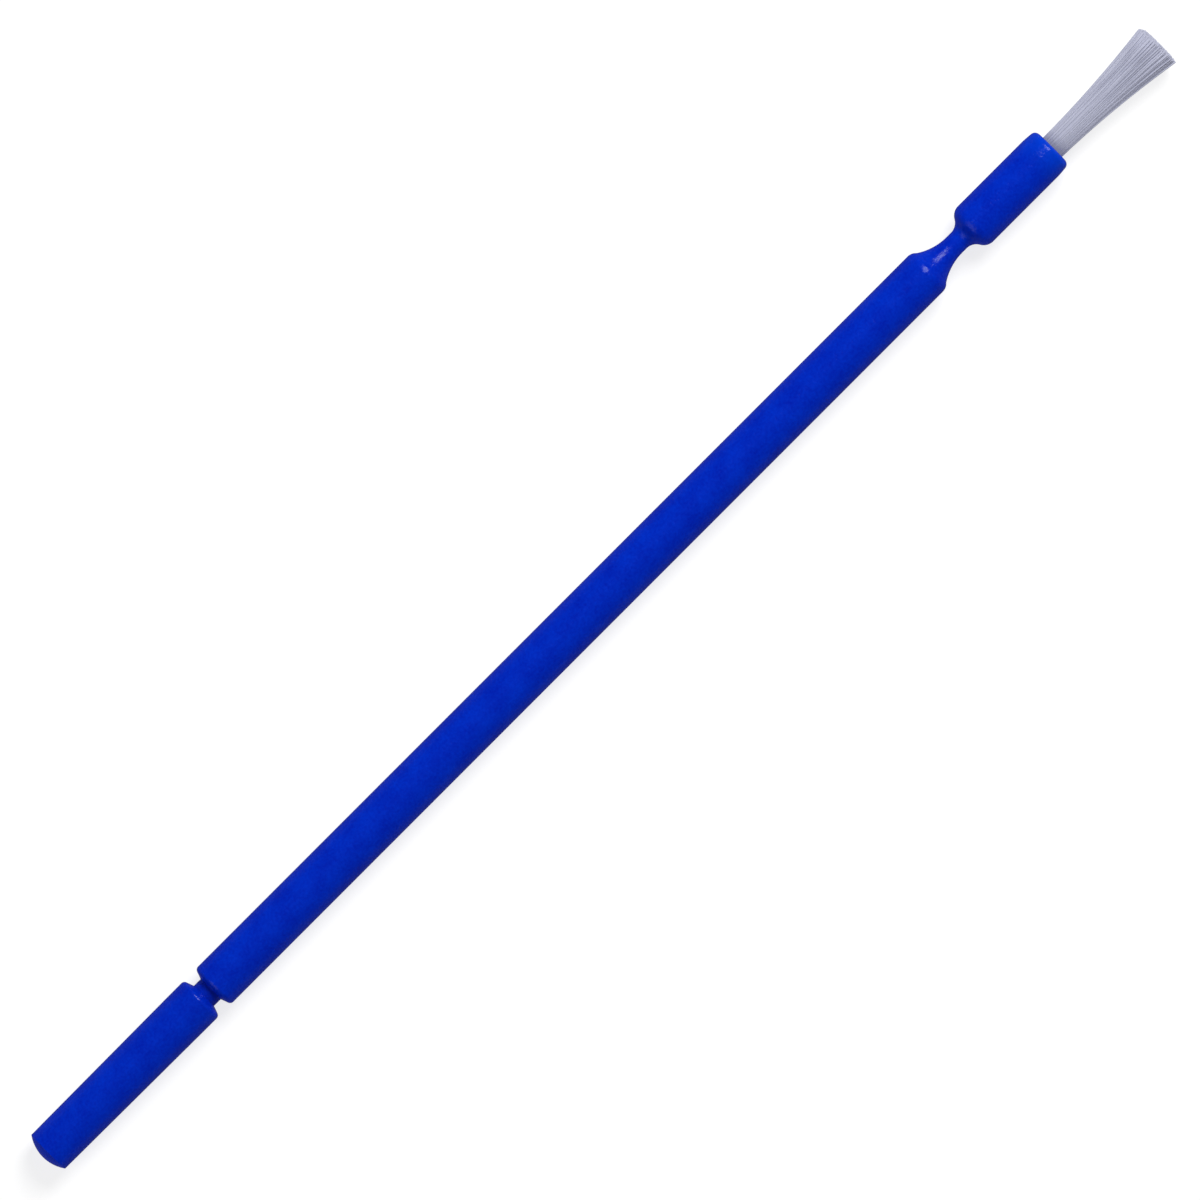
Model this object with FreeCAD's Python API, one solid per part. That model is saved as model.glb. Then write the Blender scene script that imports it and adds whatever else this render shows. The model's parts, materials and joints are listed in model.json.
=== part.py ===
"""Bendable cleaning brush the size of a pen: one moulded stick with a nylon tuft in its end.

The stick lies along X with its tail at -X and its tuft at +X. The origin is halfway along its
axis and +Z is up. The stick is one moulding, cut here at the two places where it bends: the
notch at the tail and the neck below the head. Lengths are in millimetres, angles in degrees.
"""
import FreeCAD, Part
import math
import os

from FreeCAD import Vector

# Whole stick
OVERALL_LENGTH = 100.0
STICK_DIAMETER = 3.18
MAX_ROUND_SHARE = 0.9  # a rounded edge takes at most this share of the wall that it stands on

# Tail, the end that snaps off
TAIL_LENGTH = 14.46
TAIL_DRAFT = 0.29
TAIL_DOME_HEIGHT = 0.49

# Notch between the tail and the shaft; its steep walls run into rounded edges
NOTCH_LENGTH = 0.60
NOTCH_DIAMETER = 1.81
NOTCH_WALL_SLOPE = 70.0
NOTCH_EDGE_ROUND = 0.30

# Shaft end towards the neck, rounded to this length and this depth
SHAFT_END_ROUND_LENGTH = 0.63
SHAFT_END_ROUND_DEPTH = 0.29

# Neck
NECK_TAPER_LENGTH = 2.03
WAIST_LENGTH = 0.38
WAIST_DIAMETER = 1.41
NECK_FILLET_LENGTH = 0.76

# Head
HEAD_LENGTH = 7.61
HEAD_SHOULDER_LENGTH = 0.76
NOSE_TAPER_LENGTH = 1.0
NOSE_TAPER_DROP = 0.05
NOSE_ROUND = 0.40
BORE_DIAMETER = 1.84
BORE_DEPTH = 4.5

# Anchor, the flat piece of wire that holds the folded filaments in the bore
ANCHOR_THICKNESS = 0.25
ANCHOR_HEIGHT = 1.4
ANCHOR_BITE = 0.15

# Filaments
FILAMENT_DIAMETER = 0.10
FILAMENT_GAP = 0.015
FREE_LENGTH = 9.45
TUFT_TIP_DIAMETER = 3.10

# Places along X, from the tail to the tip of the tuft
TAIL_END_X = -OVERALL_LENGTH / 2
NOTCH_START_X = TAIL_END_X + TAIL_LENGTH
SHAFT_START_X = NOTCH_START_X + NOTCH_LENGTH
TIP_X = TAIL_END_X + OVERALL_LENGTH
FACE_X = TIP_X - FREE_LENGTH
HEAD_START_X = FACE_X - HEAD_LENGTH
WAIST_END_X = HEAD_START_X - NECK_FILLET_LENGTH
WAIST_START_X = WAIST_END_X - WAIST_LENGTH
SHAFT_END_X = WAIST_START_X - NECK_TAPER_LENGTH

# Radii that follow from the sizes above
STICK_RADIUS = STICK_DIAMETER / 2
NOTCH_RADIUS = NOTCH_DIAMETER / 2
WAIST_RADIUS = WAIST_DIAMETER / 2
BORE_RADIUS = BORE_DIAMETER / 2
FILAMENT_RADIUS = FILAMENT_DIAMETER / 2
SHAFT_END_RADIUS = STICK_RADIUS - SHAFT_END_ROUND_DEPTH

# The fillet above the waist runs into the head's rounded shoulder at the same slope.
SHOULDER_SHARE = NECK_FILLET_LENGTH / (NECK_FILLET_LENGTH + HEAD_SHOULDER_LENGTH)
HEAD_START_RADIUS = WAIST_RADIUS + SHOULDER_SHARE * (STICK_RADIUS - WAIST_RADIUS)

# The outermost filaments stand just clear of the wall of the bore, and lean out to the tuft's full
# width at its tip. The widest fold just fits above the bottom of the bore.
OUTERMOST_FILAMENT = BORE_RADIUS - FILAMENT_GAP - FILAMENT_RADIUS
TIP_SPREAD = (TUFT_TIP_DIAMETER / 2 - FILAMENT_RADIUS) / OUTERMOST_FILAMENT - 1
FOLD_X = FACE_X - BORE_DEPTH + BORE_RADIUS


def line(start, end):
    """Straight piece of outline between two (x, radius) points."""
    return Part.makeLine(Vector(start[0], 0, start[1]), Vector(end[0], 0, end[1]))


def tangent_arc(flat, end):
    """Round piece of outline that leaves `flat` parallel to X and finishes at `end`."""
    run = end[0] - flat[0]
    rise = end[1] - flat[1]
    half_turn = math.atan2(abs(rise), abs(run))
    radius = abs(run) / math.sin(2 * half_turn)
    middle_x = flat[0] + math.copysign(radius * math.sin(half_turn), run)
    middle_radius = flat[1] + math.copysign(radius * (1 - math.cos(half_turn)), rise)
    points = [Vector(x, 0, r) for x, r in (flat, (middle_x, middle_radius), end)]
    return Part.Arc(*points).toShape()


def dome_arc(apex_x, rim):
    """Round piece of outline from the axis at `apex_x` to the rim of a shallow dome."""
    height = rim[0] - apex_x
    radius = (rim[1] ** 2 + height ** 2) / (2 * height)
    half_turn = math.asin(rim[1] / radius) / 2
    middle_x = apex_x + radius * (1 - math.cos(half_turn))
    middle_radius = radius * math.sin(half_turn)
    points = [Vector(x, 0, r) for x, r in ((apex_x, 0), (middle_x, middle_radius), rim)]
    return Part.Arc(*points).toShape()


def turned(edges):
    """Solid made by turning a closed outline about X."""
    outline = Part.Face(Part.Wire(edges))
    return outline.revolve(Vector(0, 0, 0), Vector(1, 0, 0), 360)


def limited_round(wanted, wall):
    """Depth of a rounded edge, limited by the wall that it stands on."""
    return min(wanted, MAX_ROUND_SHARE * wall)


def notch_wall(root_x, away):
    """Points of one wall of the notch: where its rounded edge starts, where it ends and its root.

    `away` is the direction along X from the root towards the full stick, -1 or 1.
    """
    slope = math.radians(NOTCH_WALL_SLOPE)
    height = STICK_RADIUS - NOTCH_RADIUS
    round_height = limited_round(NOTCH_EDGE_ROUND * (1 - math.cos(slope)), height)
    round_length = round_height / math.tan(slope / 2)
    slope_length = (height - round_height) / math.tan(slope)
    round_end = (root_x + away * slope_length, STICK_RADIUS - round_height)
    round_start = (round_end[0] + away * round_length, STICK_RADIUS)
    return round_start, round_end, (root_x, NOTCH_RADIUS)


def make_tail():
    """Tail: a slightly drafted cylinder with a domed end and one wall of the notch."""
    round_start, round_end, root = notch_wall(NOTCH_START_X, -1)
    rim_x = TAIL_END_X + TAIL_DOME_HEIGHT
    draft = (round_start[0] - rim_x) * math.tan(math.radians(TAIL_DRAFT))
    rim = (rim_x, STICK_RADIUS - draft)
    return turned([
        dome_arc(TAIL_END_X, rim),
        line(rim, round_start),
        tangent_arc(round_start, round_end),
        line(round_end, root),
        line(root, (NOTCH_START_X, 0)),
        line((NOTCH_START_X, 0), (TAIL_END_X, 0)),
    ])


def make_notch():
    """Thin pin at the bottom of the notch, which bends and then breaks."""
    return Part.makeCylinder(NOTCH_RADIUS, NOTCH_LENGTH, Vector(NOTCH_START_X, 0, 0), Vector(1, 0, 0))


def make_shaft():
    """Grip shaft: a plain cylinder between the other wall of the notch and the neck."""
    round_start, round_end, root = notch_wall(SHAFT_START_X, 1)
    last_full = (SHAFT_END_X - SHAFT_END_ROUND_LENGTH, STICK_RADIUS)
    end = (SHAFT_END_X, SHAFT_END_RADIUS)
    return turned([
        line((SHAFT_START_X, 0), root),
        line(root, round_end),
        tangent_arc(round_start, round_end),
        line(round_start, last_full),
        tangent_arc(last_full, end),
        line(end, (SHAFT_END_X, 0)),
        line((SHAFT_END_X, 0), (SHAFT_START_X, 0)),
    ])


def make_neck():
    """Bend neck: hollow taper down to a thin waist, then a small fillet up to the head."""
    start = (SHAFT_END_X, SHAFT_END_RADIUS)
    waist_start = (WAIST_START_X, WAIST_RADIUS)
    waist_end = (WAIST_END_X, WAIST_RADIUS)
    end = (HEAD_START_X, HEAD_START_RADIUS)
    return turned([
        line((SHAFT_END_X, 0), start),
        tangent_arc(waist_start, start),
        line(waist_start, waist_end),
        tangent_arc(waist_end, end),
        line(end, (HEAD_START_X, 0)),
        line((HEAD_START_X, 0), (SHAFT_END_X, 0)),
    ])


def anchor_box(height):
    """Box as thick and as wide as the anchor, from the anchor's lower edge up along the bore."""
    width = BORE_DIAMETER + 2 * ANCHOR_BITE
    corner = Vector(FOLD_X, -ANCHOR_THICKNESS / 2, -width / 2)
    return Part.makeBox(height, ANCHOR_THICKNESS, width, corner)


def make_head():
    """Brush head: round shoulder, plain barrel, rounded nose and a blind bore for the tuft.

    The anchor cuts a groove down each side of the bore as it is driven in.
    """
    start = (HEAD_START_X, HEAD_START_RADIUS)
    shoulder = (HEAD_START_X + HEAD_SHOULDER_LENGTH, STICK_RADIUS)
    nose_radius = STICK_RADIUS - NOSE_TAPER_DROP
    nose_round = limited_round(NOSE_ROUND, nose_radius - BORE_RADIUS)
    taper_start = (FACE_X - NOSE_TAPER_LENGTH, STICK_RADIUS)
    taper_end = (FACE_X - nose_round, nose_radius)
    face = (FACE_X, nose_radius - nose_round)
    bore_bottom_x = FACE_X - BORE_DEPTH
    barrel = turned([
        line((HEAD_START_X, 0), start),
        tangent_arc(shoulder, start),
        line(shoulder, taper_start),
        line(taper_start, taper_end),
        tangent_arc(taper_end, face),
        line(face, (FACE_X, BORE_RADIUS)),
        line((FACE_X, BORE_RADIUS), (bore_bottom_x, BORE_RADIUS)),
        line((bore_bottom_x, BORE_RADIUS), (bore_bottom_x, 0)),
        line((bore_bottom_x, 0), (HEAD_START_X, 0)),
    ])
    return barrel.cut(anchor_box(FACE_X - FOLD_X))


def make_anchor():
    """Anchor: a short length of flat wire that stands across the bore and bites into its wall."""
    return anchor_box(ANCHOR_HEIGHT)


def flare_arc(foot):
    """Free end of a filament: an arc that leaves the bore straight and leans outwards.

    The lean grows with the distance from the bore's axis, so that no two filaments cross.
    """
    outwards = Vector(0, foot.y, foot.z)
    lean = outwards.Length * TIP_SPREAD
    outwards.normalize()
    half_turn = math.atan2(lean, FREE_LENGTH)
    radius = FREE_LENGTH / math.sin(2 * half_turn)
    middle_x = radius * math.sin(half_turn)
    middle_lean = radius * (1 - math.cos(half_turn))
    middle = foot + Vector(middle_x, 0, 0) + outwards * middle_lean
    tip = foot + Vector(FREE_LENGTH, 0, 0) + outwards * lean
    return Part.Arc(foot, middle, tip)


def make_filament(y, z):
    """One filament folded round the anchor, with its two legs at +y and -y."""
    feet = [Vector(FACE_X, side * y, z) for side in (1, -1)]
    bends = [Vector(FOLD_X, side * y, z) for side in (1, -1)]
    first, second = [flare_arc(foot) for foot in feet]
    fold = Part.Arc(bends[0], Vector(FOLD_X - y, 0, z), bends[1])
    path = Part.Wire([
        first.toShape(),
        Part.makeLine(feet[0], bends[0]),
        fold.toShape(),
        Part.makeLine(bends[1], feet[1]),
        second.toShape(),
    ])
    tip = first.EndPoint
    section = Part.makeCircle(FILAMENT_RADIUS, tip, first.tangent(first.LastParameter)[0])
    return path.makePipe(Part.Face(Part.Wire(section)))


def filament_rows():
    """Yield (row, y, z) for each folded filament, packed like stacked pipes on both sides of the anchor.

    Rows lie side by side along the anchor. In every other row the filaments stand half a step
    further out, and within a row y grows outwards.
    """
    step = FILAMENT_DIAMETER + FILAMENT_GAP
    row_step = step * math.sqrt(3) / 2
    nearest = ANCHOR_THICKNESS / 2 + FILAMENT_GAP + FILAMENT_RADIUS
    last_row = int(math.sqrt(OUTERMOST_FILAMENT ** 2 - nearest ** 2) / row_step)
    for row in range(-last_row, last_row + 1):
        z = row * row_step
        widest = math.sqrt(OUTERMOST_FILAMENT ** 2 - z ** 2)
        y = nearest + step / 2 * (row % 2)
        while y <= widest:
            yield row, y, z
            y += step


def make_filaments():
    """Sort the folded filaments into the outermost one of every other row and all the rest."""
    rows = {}
    for row, y, z in filament_rows():
        rows.setdefault(row, []).append(make_filament(y, z))
    edge = [row_filaments[-1] for row, row_filaments in rows.items() if row % 2 == 0]
    core = []
    for row, row_filaments in rows.items():
        core.extend(row_filaments[:-1] if row % 2 == 0 else row_filaments)
    return Part.makeCompound(edge), Part.makeCompound(core)


def main():
    """Build every piece and write one STEP file for each."""
    edge_filaments, core_filaments = make_filaments()
    pieces = {
        "snap_off_tail": make_tail(),
        "snap_notch": make_notch(),
        "grip_shaft": make_shaft(),
        "bend_neck": make_neck(),
        "brush_head": make_head(),
        "tuft_anchor": make_anchor(),
        "edge_filaments": edge_filaments,
        "core_filaments": core_filaments,
    }
    os.makedirs("parts", exist_ok=True)
    for name, shape in pieces.items():
        shape.exportStep(os.path.join("parts", name + ".step"))
        print(f"{name}: {len(shape.Solids)} solids, {shape.Volume:.4f} mm3, valid {shape.isValid()}")


main()
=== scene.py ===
"""Looks of a bendable cleaning brush: a frosted blue stick with a pale nylon tuft.

The stick lies along X with its tail at -X. Lengths are in metres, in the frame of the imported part.
"""

import enum
import json
import logging
import math
import random
from dataclasses import dataclass, field
from typing import TypeAlias

import bpy
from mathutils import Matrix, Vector

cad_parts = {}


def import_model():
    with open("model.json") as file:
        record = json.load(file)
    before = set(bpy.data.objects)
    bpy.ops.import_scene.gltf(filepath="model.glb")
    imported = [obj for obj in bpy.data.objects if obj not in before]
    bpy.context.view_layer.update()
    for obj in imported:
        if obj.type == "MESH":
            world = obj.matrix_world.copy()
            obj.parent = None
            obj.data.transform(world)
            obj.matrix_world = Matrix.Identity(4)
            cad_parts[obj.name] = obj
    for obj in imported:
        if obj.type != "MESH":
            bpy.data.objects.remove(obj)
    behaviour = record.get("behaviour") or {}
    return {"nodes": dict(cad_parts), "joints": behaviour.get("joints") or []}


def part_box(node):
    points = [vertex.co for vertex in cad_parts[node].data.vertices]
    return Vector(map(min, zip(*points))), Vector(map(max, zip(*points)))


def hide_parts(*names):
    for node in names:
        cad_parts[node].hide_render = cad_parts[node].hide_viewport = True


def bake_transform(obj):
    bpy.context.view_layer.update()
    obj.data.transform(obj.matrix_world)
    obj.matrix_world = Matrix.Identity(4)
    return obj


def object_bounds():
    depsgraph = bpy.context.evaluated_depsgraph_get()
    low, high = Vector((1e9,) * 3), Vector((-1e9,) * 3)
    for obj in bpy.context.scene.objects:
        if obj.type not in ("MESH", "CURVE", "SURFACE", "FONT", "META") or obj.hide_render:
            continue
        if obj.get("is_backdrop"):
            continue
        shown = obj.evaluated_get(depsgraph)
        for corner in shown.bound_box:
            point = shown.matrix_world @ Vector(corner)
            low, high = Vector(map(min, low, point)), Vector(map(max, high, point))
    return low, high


LOG = logging.getLogger("brush")
MM = 0.001
QUARTER_TURN = math.radians(90)
SMOOTH_ANGLE = math.radians(40)
ROW_TO_PITCH = math.sqrt(0.75)
WHITE = (1.0, 1.0, 1.0)

# A Mix node has several sockets of the same name, so its colour sockets go by number.
MIX_FIRST = 6
MIX_SECOND = 7
MIX_RESULT = 2

Colour: TypeAlias = tuple[float, float, float]
Vector3: TypeAlias = tuple[float, float, float]
Pair: TypeAlias = tuple[float, float]
Stop: TypeAlias = tuple[float, Colour]
Feed: TypeAlias = "Socket | float | tuple"


class Bristle(enum.Enum):
    """Where a filament stands in the tuft."""

    RIM = "rim"
    HEART = "heart"


BRISTLE_NODES = {Bristle.RIM: "edge_filaments", Bristle.HEART: "core_filaments"}


# ---------------------------------------------------------------- shader sockets and nodes


class Socket:
    """One output socket, so that shader maths reads as an expression."""

    def __init__(self, nodes: "NodeMaker", link: bpy.types.NodeSocket) -> None:
        """Wrap a socket.

        Args:
            nodes: The maker of the tree that the socket is in.
            link: The output socket.
        """
        self.nodes = nodes
        self.link = link

    def _math(self, operation: str, other: Feed) -> "Socket":
        """Add a Math node on this socket and another value, and return its output."""
        return self.nodes.add("ShaderNodeMath", {"operation": operation}, {0: self, 1: other})

    def __add__(self, other: Feed) -> "Socket":
        """Return self + other."""
        return self._math("ADD", other)

    __radd__ = __add__

    def __mul__(self, other: Feed) -> "Socket":
        """Return self * other."""
        return self._math("MULTIPLY", other)

    __rmul__ = __mul__


class NodeMaker:
    """Adds nodes to the tree of one material or world and joins them."""

    def __init__(self, owner: bpy.types.Material | bpy.types.World) -> None:
        """Start with an empty tree.

        Args:
            owner: The material or world that the nodes are for.
        """
        owner.use_nodes = True
        self.owner = owner
        self.tree = owner.node_tree
        self.tree.nodes.clear()

    def add(
        self,
        kind: str,
        settings: dict | None = None,
        inputs: dict | None = None,
        out: int | str = 0,
    ) -> Socket | None:
        """Add a node.

        Args:
            kind: The node's type.
            settings: Properties to set first; "stops" holds a ramp's two (position, colour) pairs.
            inputs: Socket name or number to a value or a Socket.
            out: Name or number of the output to return.

        Returns:
            The chosen output, or None for a node without outputs.
        """
        node = self.tree.nodes.new(kind)
        for key, value in (settings or {}).items():
            if key == "stops":
                for element, (place, colour) in zip(node.color_ramp.elements, value):
                    element.position = place
                    element.color = (*colour, 1.0)
            else:
                setattr(node, key, value)
        for key, value in (inputs or {}).items():
            self.feed(node.inputs[key], value)
        return Socket(self, node.outputs[out]) if node.outputs else None

    def feed(self, socket: bpy.types.NodeSocket, value: Feed) -> None:
        """Give an input socket a link or a value.

        Args:
            socket: The input socket.
            value: A Socket, a number, a vector or an opaque colour of three numbers.
        """
        if isinstance(value, Socket):
            self.tree.links.new(value.link, socket)
        elif socket.type == "RGBA":
            socket.default_value = (*value, 1.0)
        else:
            socket.default_value = value

    def position(self) -> Socket:
        """Return the point on the piece, in the part's own frame."""
        return self.add("ShaderNodeTexCoord", out="Object")

    def noise(self, per_metre: float, detail: float, stretch: Vector3 = (1, 1, 1)) -> Socket:
        """Add a noise.

        Args:
            per_metre: How many features there are to a metre.
            detail: Octaves of finer noise.
            stretch: Scale along each axis.

        Returns:
            The noise's value, from 0 to 1.
        """
        place = self.add(
            "ShaderNodeMapping",
            inputs={"Vector": self.position(), "Scale": stretch},
        )
        return self.add(
            "ShaderNodeTexNoise",
            inputs={"Vector": place, "Scale": per_metre, "Detail": detail},
        )

    def ramp(self, value: Socket, first: Stop, second: Stop) -> Socket:
        """Add a colour ramp.

        Args:
            value: What runs along the ramp.
            first: The lower stop's (position, colour).
            second: The upper stop's (position, colour).

        Returns:
            The ramp's colour.
        """
        return self.add(
            "ShaderNodeValToRGB",
            {"stops": (first, second)},
            {"Fac": value},
            "Color",
        )

    def along_x(self, start: float, end: float) -> Socket:
        """Return 0 before the first x, 1 after the second and an even rise between them."""
        place = self.add("ShaderNodeSeparateXYZ", inputs={0: self.position()}, out="X")
        return self.add(
            "ShaderNodeMapRange",
            inputs={"Value": place, "From Min": start, "From Max": end},
        )

    def mix(self, share: Socket, first: Socket, second: Colour) -> Socket:
        """Mix a colour with a fixed one.

        Args:
            share: How much of the fixed colour shows.
            first: The colour at share 0.
            second: The fixed colour.

        Returns:
            The mixed colour.
        """
        return self.add(
            "ShaderNodeMix",
            {"data_type": "RGBA"},
            {"Factor": share, MIX_FIRST: first, MIX_SECOND: second},
            MIX_RESULT,
        )

    def bump(self, height: Socket, depth: float) -> Socket:
        """Add a Bump node.

        Args:
            height: The height, from 0 to 1.
            depth: How high 1 stands, in metres.

        Returns:
            The bumped normal.
        """
        return self.add(
            "ShaderNodeBump",
            inputs={"Strength": 1.0, "Distance": depth, "Height": height},
            out="Normal",
        )

    def finish(self, values: dict[str, Feed]) -> bpy.types.Material:
        """Close a material's tree with a Principled shader.

        Args:
            values: The shader's socket names to values or Sockets.

        Returns:
            The material.
        """
        shader = self.add("ShaderNodeBsdfPrincipled", inputs=values, out="BSDF")
        self.add("ShaderNodeOutputMaterial", inputs={"Surface": shader})
        return self.owner


# ---------------------------------------------------------------- finishes


@dataclass(frozen=True)
class FrostedPlastic:
    """Blue polypropylene with the frosted skin of a blasted mould, painted brighter towards the head's
    end as a painted highlight where the key light falls.
    """

    name: str = "frosted_blue_plastic"
    deep: Colour = (0.0, 0.0120, 0.375)
    light: Colour = (0.0, 0.0260, 0.500)
    # Painted highlight: a brighter blue that the stick turns to towards the head's end.
    painted_lit_blue: Colour = (0.0, 0.055, 0.62)
    deep_until: float = 0.32
    light_from: float = 0.68
    # Where along X the painted highlight starts and where it is full.
    painted_lit_start: float = 38.6 * MM
    painted_lit_end: float = 42.4 * MM
    grain_per_metre: float = 6000.0
    grain_detail: float = 3.0
    grain_depth: float = 0.024 * MM
    grain_share: float = 0.55
    cloud_per_metre: float = 700.0
    cloud_detail: float = 2.0
    cloud_share: float = 0.45
    roughness_low: float = 0.13
    roughness_spread: float = 0.12
    sheen: Colour = (0.92, 0.96, 1.0)
    specular_level: float = 0.5
    refraction: float = 1.22

    def build(self) -> bpy.types.Material:
        """Make the material.

        Returns:
            The material.
        """
        nodes = NodeMaker(bpy.data.materials.new(self.name))
        grain = nodes.noise(self.grain_per_metre, self.grain_detail)
        cloud = nodes.noise(self.cloud_per_metre, self.cloud_detail)
        solid = nodes.ramp(
            self.cloud_share * cloud + self.grain_share * grain,
            (self.deep_until, self.deep),
            (self.light_from, self.light),
        )
        return nodes.finish({
            # Painted highlight: the base blue is mixed towards a brighter blue along X near the head's
            # end, where the key light falls.
            "Base Color": nodes.mix(nodes.along_x(self.painted_lit_start, self.painted_lit_end), solid, self.painted_lit_blue),
            "Roughness": self.roughness_low + self.roughness_spread * grain,
            "Normal": nodes.bump(grain, self.grain_depth),
            "Specular IOR Level": self.specular_level,
            "Specular Tint": self.sheen,
            "IOR": self.refraction,
        })


@dataclass(frozen=True)
class Nylon:
    """Milky nylon filament, with a steady faint glow painted in to lift its shade, though nylon is no
    lamp.
    """

    name: str
    dark: Colour
    pale: Colour
    dark_until: float = 0.35
    pale_from: float = 0.65
    streaks_per_metre: float = 5000.0
    streak_detail: float = 1.0
    streak_stretch: Vector3 = (0.04, 1, 1)
    roughness: float = 0.6
    specular_level: float = 0.2
    refraction: float = 1.53
    # Painted glow: colour and strength of the faint light the nylon gives off by itself.
    painted_glow: Colour = (0.085, 0.087, 0.112)
    painted_glow_strength: float = 1.0

    def build(self) -> bpy.types.Material:
        """Make the material.

        Returns:
            The material.
        """
        nodes = NodeMaker(bpy.data.materials.new(self.name))
        streak = nodes.noise(self.streaks_per_metre, self.streak_detail, self.streak_stretch)
        return nodes.finish({
            "Base Color": nodes.ramp(streak, (self.dark_until, self.dark), (self.pale_from, self.pale)),
            "Roughness": self.roughness,
            "Specular IOR Level": self.specular_level,
            "IOR": self.refraction,
            # Painted glow: emission that lifts the tuft's shade.
            "Emission Color": self.painted_glow,
            "Emission Strength": self.painted_glow_strength,
        })


@dataclass(frozen=True)
class DrawnWire:
    """Drawn brass wire with fine lines along its length."""

    name: str = "drawn_brass_wire"
    dark: Colour = (0.42, 0.28, 0.10)
    pale: Colour = (0.62, 0.46, 0.20)
    dark_until: float = 0.3
    pale_from: float = 0.7
    lines_per_metre: float = 20000.0
    line_detail: float = 2.0
    line_stretch: Vector3 = (1, 1, 0.02)
    roughness_low: float = 0.25
    roughness_spread: float = 0.2
    metallic: float = 1.0

    def build(self) -> bpy.types.Material:
        """Make the material.

        Returns:
            The material.
        """
        nodes = NodeMaker(bpy.data.materials.new(self.name))
        lines = nodes.noise(self.lines_per_metre, self.line_detail, self.line_stretch)
        return nodes.finish({
            "Base Color": nodes.ramp(lines, (self.dark_until, self.dark), (self.pale_from, self.pale)),
            "Metallic": self.metallic,
            "Roughness": self.roughness_low + self.roughness_spread * lines,
        })


@dataclass(frozen=True)
class PaleFloor:
    """Matt floor with a glow of its own, so that it stays white beside the brush."""

    name: str = "pale_floor"
    grey: Colour = (0.26, 0.26, 0.26)
    roughness: float = 1.0
    specular_level: float = 0.0
    glow: float = 0.78

    def build(self) -> bpy.types.Material:
        """Make the material.

        Returns:
            The material.
        """
        nodes = NodeMaker(bpy.data.materials.new(self.name))
        return nodes.finish({
            "Base Color": self.grey,
            "Roughness": self.roughness,
            "Specular IOR Level": self.specular_level,
            "Emission Color": WHITE,
            "Emission Strength": self.glow,
        })


# ---------------------------------------------------------------- modelling helpers


def deselect() -> None:
    """Leave object mode's selection empty."""
    if bpy.context.mode != "OBJECT":
        bpy.ops.object.mode_set(mode="OBJECT")
    bpy.ops.object.select_all(action="DESELECT")


def take(obj: bpy.types.Object) -> None:
    """Select one object alone and make it active.

    Args:
        obj: The object.
    """
    deselect()
    obj.select_set(True)
    bpy.context.view_layer.objects.active = obj


def start_rod(sides: int, radius: float, x: float) -> bpy.types.Object:
    """Add a disc that faces along X, and leave it open in edit mode, selected all over.

    Args:
        sides: How many corners it has.
        radius: Its radius.
        x: Where it stands.

    Returns:
        The disc.
    """
    deselect()
    bpy.ops.mesh.primitive_circle_add(
        vertices=sides,
        radius=radius,
        fill_type="NGON",
        location=(x, 0, 0),
        rotation=(0, QUARTER_TURN, 0),
    )
    disc = bpy.context.object
    bpy.ops.object.mode_set(mode="EDIT")
    bpy.ops.mesh.select_all(action="SELECT")
    return disc


def extend_rod(step: float) -> None:
    """Extrude the selected end of a rod along X."""
    bpy.ops.mesh.extrude_region_move(TRANSFORM_OT_translate={"value": (step, 0, 0)})


def finish_rod(rod: bpy.types.Object) -> None:
    """Turn a rod's faces outwards, leave edit mode and move its place and turn into its mesh.

    Args:
        rod: The rod, open in edit mode.
    """
    bpy.ops.mesh.select_all(action="SELECT")
    bpy.ops.mesh.normals_make_consistent(inside=False)
    take(rod)
    bpy.ops.object.transform_apply(location=True, rotation=True, scale=True)


def dress(obj: bpy.types.Object, material: bpy.types.Material) -> None:
    """Give an object one material."""
    obj.data.materials.clear()
    obj.data.materials.append(material)


def report(obj: bpy.types.Object, note: str) -> None:
    """Log a finished piece."""
    LOG.info("%s: %s, %d faces", obj.name, note, len(obj.data.polygons))


def joint_x(frame: dict, name: str) -> float:
    """Return the x of a joint's axis."""
    return next(joint for joint in frame["joints"] if joint["name"] == name)["pos_m"][0]


def tangent_radius(x: float, flat: Pair, end: Pair) -> float:
    """Radius at x on an arc that leaves `flat` along X and finishes at `end`.

    Args:
        x: Place along X.
        flat: (x, radius) where the arc runs along X.
        end: (x, radius) at the arc's other end.

    Returns:
        The outline's radius.
    """
    run = abs(end[0] - flat[0])
    rise = end[1] - flat[1]
    half_turn = math.atan2(abs(rise), run)
    arc = run / math.sin(2 * half_turn)
    along = min(abs(x - flat[0]), run)
    return flat[1] + math.copysign(arc - math.sqrt(arc ** 2 - along ** 2), rise)


# ---------------------------------------------------------------- sub-assemblies


@dataclass
class PackedPieces:
    """Pieces of one finish that keep the shape they were packed with."""

    names: tuple[str, ...]

    def make(self, packed: dict[str, bpy.types.Object], finish: bpy.types.Material) -> None:
        """Dress the pieces.

        Args:
            packed: Node name to object.
            finish: Their material.
        """
        for name in self.names:
            dress(packed[name], finish)
            report(packed[name], "shape kept")


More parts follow.
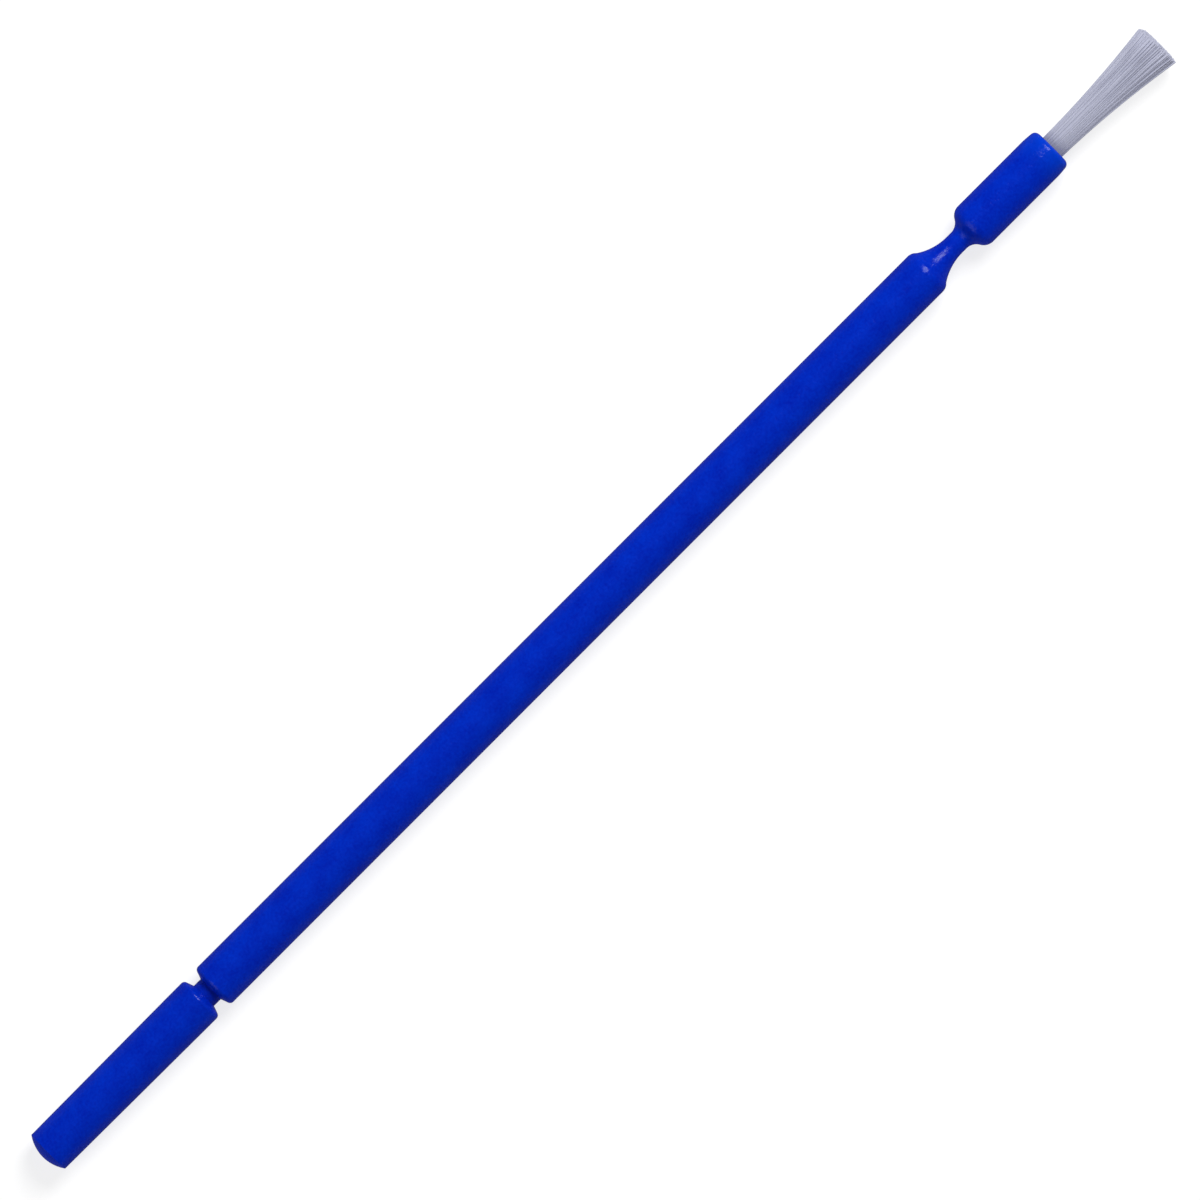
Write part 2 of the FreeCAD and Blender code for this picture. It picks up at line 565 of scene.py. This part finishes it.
@dataclass
class TurnedWeb:
    """A round section of the stick that bends, turned about X to an outline."""

    name: str
    node: str
    bodies: tuple[str, str]
    sides: int = 64
    rings: int = 40
    start: float = field(init=False)
    end: float = field(init=False)

    def __post_init__(self) -> None:
        """Take the first and last x from the frame."""
        low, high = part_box(self.node)
        self.start, self.end = low[0], high[0]

    def outline(self, x: float) -> float:
        """Return the radius at x."""
        raise NotImplementedError

    def bend(self) -> Pair:
        """Return where along X the bend starts and ends."""
        return self.start, self.end

    def turn(self) -> bpy.types.Object:
        """Model the web, ring by ring along its outline.

        Returns:
            The web, in place.
        """
        step = (self.end - self.start) / self.rings
        web = start_rod(self.sides, self.outline(self.start), self.start)
        for ring in range(1, self.rings + 1):
            x = self.start + ring * step
            grow = self.outline(x) / self.outline(x - step)
            extend_rod(step)
            bpy.ops.transform.resize(value=(1, grow, grow), center_override=(x, 0, 0))
        finish_rod(web)
        bpy.ops.object.shade_smooth_by_angle(angle=SMOOTH_ANGLE)
        return web

    def make(self, finish: bpy.types.Material) -> None:
        """Model the web, dress it and say what it is.

        Args:
            finish: The stick's material.
        """
        web = self.turn()
        web.name = self.name
        web.data.name = self.name
        dress(web, finish)
        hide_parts(self.node)
        bend_start, bend_end = self.bend()
        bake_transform(web)
        report(web, f"{self.rings} rings")


@dataclass
class NotchWeb(TurnedWeb):
    """The pin at the bottom of the snap notch."""

    name: str = "notch_pin"
    node: str = "snap_notch"
    bodies: tuple[str, str] = ("tail", "handle")
    rings: int = 12
    radius: float = 0.905 * MM

    def outline(self, x: float) -> float:
        """Return the pin's radius, the same all along."""
        return self.radius


@dataclass(kw_only=True)
class NeckWeb(TurnedWeb):
    """The hollow taper, the waist and the fillet below the head."""

    hinge: float
    name: str = "neck_web"
    node: str = "bend_neck"
    bodies: tuple[str, str] = ("handle", "head")
    start_radius: float = 1.30 * MM
    waist_radius: float = 0.705 * MM
    end_radius: float = 1.1475 * MM
    taper_length: float = 2.03 * MM
    fillet_length: float = 0.76 * MM
    bend_reach: float = 0.95 * MM

    def outline(self, x: float) -> float:
        """Follow the taper, the waist and the fillet.

        Args:
            x: Place along X.

        Returns:
            The neck's radius there.
        """
        waist_start = (self.start + self.taper_length, self.waist_radius)
        waist_end = (self.end - self.fillet_length, self.waist_radius)
        if x < waist_start[0]:
            return tangent_radius(x, waist_start, (self.start, self.start_radius))
        if x > waist_end[0]:
            return tangent_radius(x, waist_end, (self.end, self.end_radius))
        return self.waist_radius

    def bend(self) -> Pair:
        """Return where the bend starts and ends, the same reach on both sides of the hinge."""
        return self.hinge - self.bend_reach, self.hinge + self.bend_reach


@dataclass
class Tuft:
    """The nylon filaments, from just inside the bore to their ragged tips.

    Shares and powers are of the bore's radius across the tuft, and of the free length along it.
    """

    bore_radius: float = 0.870 * MM
    tip_radius: float = 1.65 * MM
    root_depth: float = 0.3 * MM
    flex_reach: float = 3.2 * MM
    filament_radius: float = 0.027 * MM
    tip_growth: float = 0.60
    sides: int = 5
    rings: int = 8
    pitch_to_radius: float = 2.05
    shift_to_pitch: float = 0.35
    rim_from: float = 0.72
    even_lean: float = 0.2
    late_lean: float = 0.8
    droop_root: float = 0.015 * MM
    droop_tip: float = 0.13 * MM
    swing: float = 0.045 * MM
    wave: float = 0.010 * MM
    wave_run: float = 5.0
    corner: float = 0.24 * MM
    corner_slant: float = 0.14 * MM
    corner_power: int = 6
    ragged: float = 0.07 * MM
    seed: int = 11
    mouth: float = field(init=False)
    free_length: float = field(init=False)

    def __post_init__(self) -> None:
        """Take the bore's mouth and the tuft's free length from the frame."""
        self.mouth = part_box("brush_head")[1][0]
        self.free_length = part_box("core_filaments")[1][0] - self.mouth

    def length(self) -> float:
        """Return a filament's length from its root to its tip."""
        return self.root_depth + self.free_length

    def first_filament(self) -> bpy.types.Object:
        """Model one straight filament along X, its root at x = 0.

        Returns:
            The filament.
        """
        filament = start_rod(self.sides, self.filament_radius, 0)
        for _ in range(self.rings):
            extend_rod(self.length() / self.rings)
        finish_rod(filament)
        bpy.ops.object.shade_smooth()
        return filament

    def places(self, rng: random.Random) -> list[Pair]:
        """Choose where the filaments stand in the bore, evenly over its section.

        Args:
            rng: The seeded source of small shifts.

        Returns:
            (y, z) pairs.
        """
        reach = self.bore_radius - self.filament_radius
        pitch = self.pitch_to_radius * self.filament_radius
        row_pitch = pitch * ROW_TO_PITCH
        shift = self.shift_to_pitch * pitch
        rows = int(reach / row_pitch) + 1
        chosen = []
        for row in range(-rows, rows + 1):
            for column in range(-rows - 2, rows + 3):
                y = (column + 0.5 * (row % 2)) * pitch + rng.uniform(-shift, shift)
                z = row * row_pitch + rng.uniform(-shift, shift)
                if math.hypot(y, z) <= reach:
                    chosen.append((y, z))
        return chosen

    def kind(self, place: Pair) -> Bristle:
        """Return whether a filament at (y, z) stands in the rim or the heart."""
        near_rim = math.hypot(*place) > self.rim_from * self.bore_radius
        return Bristle.RIM if near_rim else Bristle.HEART

    def plant(self, pattern: bpy.types.Object, place: Pair, rng: random.Random) -> bpy.types.Object:
        """Copy the first filament to its place and give it its own lean, wave and length.

        Args:
            pattern: The straight filament.
            place: (y, z) in the bore.
            rng: The seeded source of unevenness.

        Returns:
            The planted filament.
        """
        copy = pattern.copy()
        copy.data = pattern.data.copy()
        bpy.context.collection.objects.link(copy)
        y, z = place
        out = math.hypot(y, z) / self.bore_radius
        spread = self.tip_radius / self.bore_radius - 1
        swing = (rng.gauss(0, self.swing), rng.gauss(0, self.swing))
        wave = (rng.gauss(0, self.wave), rng.gauss(0, self.wave))
        phase = rng.uniform(0, math.tau)
        corner = (self.corner + self.corner_slant * y / self.bore_radius) * out ** self.corner_power
        length = self.length() - abs(rng.gauss(0, self.ragged)) - corner
        for vertex in copy.data.vertices:
            x = vertex.co.x / self.length() * length - self.root_depth
            along = x / self.free_length
            free = max(0.0, along)
            flare = 1 + spread * (self.even_lean * free + self.late_lean * free ** 2)
            grow = 1 + self.tip_growth * free
            droop = self.droop_root + (self.droop_tip - self.droop_root) * free
            ripple = math.sin(phase + self.wave_run * along) - math.sin(phase)
            sway = free ** 2 * swing[0] + free * wave[0] * ripple - droop
            lift = free ** 2 * swing[1] + free * wave[1] * ripple
            vertex.co.x = self.mouth + x
            vertex.co.y = vertex.co.y * grow + y * flare + sway
            vertex.co.z = vertex.co.z * grow + z * flare + lift
        return copy

    def join(
        self,
        kind: Bristle,
        members: list[bpy.types.Object],
        finish: bpy.types.Material,
    ) -> None:
        """Join planted filaments into one piece, dress it and say what it is.

        Args:
            kind: Where they stand.
            members: The filaments.
            finish: Their material.
        """
        deselect()
        for member in members:
            member.select_set(True)
        bpy.context.view_layer.objects.active = members[0]
        bpy.ops.object.join()
        piece = bpy.context.object
        piece.name = f"tuft_{kind.value}"
        piece.data.name = piece.name
        dress(piece, finish)
        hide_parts(BRISTLE_NODES[kind])
        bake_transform(piece)
        report(piece, f"{len(members)} filaments")

    def make(self, finishes: dict[Bristle, bpy.types.Material]) -> None:
        """Model the tuft as a rim and a heart of filaments.

        Args:
            finishes: Bristle to material.
        """
        rng = random.Random(self.seed)
        pattern = self.first_filament()
        groups = {kind: [] for kind in Bristle}
        for place in self.places(rng):
            groups[self.kind(place)].append(self.plant(pattern, place, rng))
        for kind, members in groups.items():
            self.join(kind, members, finishes[kind])
        take(pattern)
        bpy.ops.object.delete()


# ---------------------------------------------------------------- studio


@dataclass(frozen=True)
class SoftLight:
    """One square soft light that faces the brush.

    Its direction runs from the brush towards it, its size is its side, and its power is in watts.
    """

    name: str
    direction: Vector3
    size: float
    power: float
    distance: float = 0.6

    def hang(self) -> None:
        """Add the light to the scene."""
        data = bpy.data.lights.new(self.name, "AREA")
        data.shape = "SQUARE"
        data.size = self.size
        data.energy = self.power
        lamp = bpy.data.objects.new(self.name, data)
        towards = Vector(self.direction).normalized()
        lamp.location = towards * self.distance
        lamp.rotation_euler = towards.to_track_quat("Z", "Y").to_euler()
        bpy.context.collection.objects.link(lamp)


@dataclass
class Studio:
    """Pale floor and room, and the camera straight above the brush."""

    floor_size: float = 3.0
    camera_height: float = 1.6
    picture_width: float = 76.1 * MM
    sensor_width: float = 36.0
    clip_start: float = 0.01
    clip_end: float = 10.0
    roll: float = math.radians(-45.02)
    centre: Pair = (-0.03 * MM, -0.02 * MM)
    room_fill: float = 0.10
    room_seen: float = 0.92

    def make_floor(self, lowest: float) -> None:
        """Lay the floor under the brush, where the stick's gloss doesn't show it.

        Args:
            lowest: The brush's lowest point.
        """
        deselect()
        bpy.ops.mesh.primitive_plane_add(size=self.floor_size, location=(0, 0, lowest))
        floor = bpy.context.object
        floor.name = "studio_floor"
        floor.visible_glossy = False
        dress(floor, PaleFloor().build())
        floor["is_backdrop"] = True

    def make_camera(self) -> None:
        """Hang the camera above the brush, turned so that the brush lies from corner to corner."""
        data = bpy.data.cameras.new("camera")
        data.sensor_width = self.sensor_width
        data.lens = self.sensor_width * self.camera_height / self.picture_width
        data.clip_start = self.clip_start
        data.clip_end = self.clip_end
        camera = bpy.data.objects.new("camera", data)
        camera.location = (*self.centre, self.camera_height)
        camera.rotation_euler = (0, 0, self.roll)
        bpy.context.collection.objects.link(camera)
        bpy.context.scene.camera = camera

    def make_room(self) -> None:
        """Give the room walls that look pale and light the brush evenly and faintly."""
        nodes = NodeMaker(bpy.data.worlds.new("room"))
        ray = nodes.add("ShaderNodeLightPath", out="Is Camera Ray")
        strength = nodes.add(
            "ShaderNodeMapRange",
            inputs={"Value": ray, "To Min": self.room_fill, "To Max": self.room_seen},
        )
        glow = nodes.add("ShaderNodeBackground", inputs={"Color": WHITE, "Strength": strength})
        nodes.add("ShaderNodeOutputWorld", inputs={"Surface": glow})
        bpy.context.scene.world = nodes.owner

    def keep_colours(self) -> None:
        """Show colours as they are lit, because a film curve would pale the deep blue."""
        bpy.context.scene.view_settings.view_transform = "Standard"


def main() -> None:
    """Build the brush's looks in order."""
    logging.basicConfig(level=logging.INFO, format="%(message)s")
    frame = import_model()
    cad_low, cad_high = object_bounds()
    studio = Studio()
    studio.make_camera()
    studio.make_floor(cad_low[2])
    studio.make_room()
    studio.keep_colours()
    SoftLight("key", direction=(0.80, 0.30, 1.0), size=0.28, power=3.85).hang()
    SoftLight("fill", direction=(-0.95, 0.10, 0.85), size=0.50, power=1.3).hang()
    plastic = FrostedPlastic().build()
    PackedPieces(("snap_off_tail", "grip_shaft", "brush_head")).make(frame["nodes"], plastic)
    PackedPieces(("tuft_anchor",)).make(frame["nodes"], DrawnWire().build())
    NotchWeb().make(plastic)
    NeckWeb(hinge=joint_x(frame, "neck_bend")).make(plastic)
    Tuft().make({
        # Painted shade: the rim's nylon is a little darker than the heart's, to give the tuft darker
        # edges.
        Bristle.RIM: Nylon("nylon_rim_painted_shade", dark=(0.32, 0.33, 0.415), pale=(0.38, 0.39, 0.48)).build(),
        Bristle.HEART: Nylon("nylon_heart", dark=(0.33, 0.34, 0.425), pale=(0.39, 0.40, 0.49)).build(),
    })


if __name__ == "__main__":
    main()
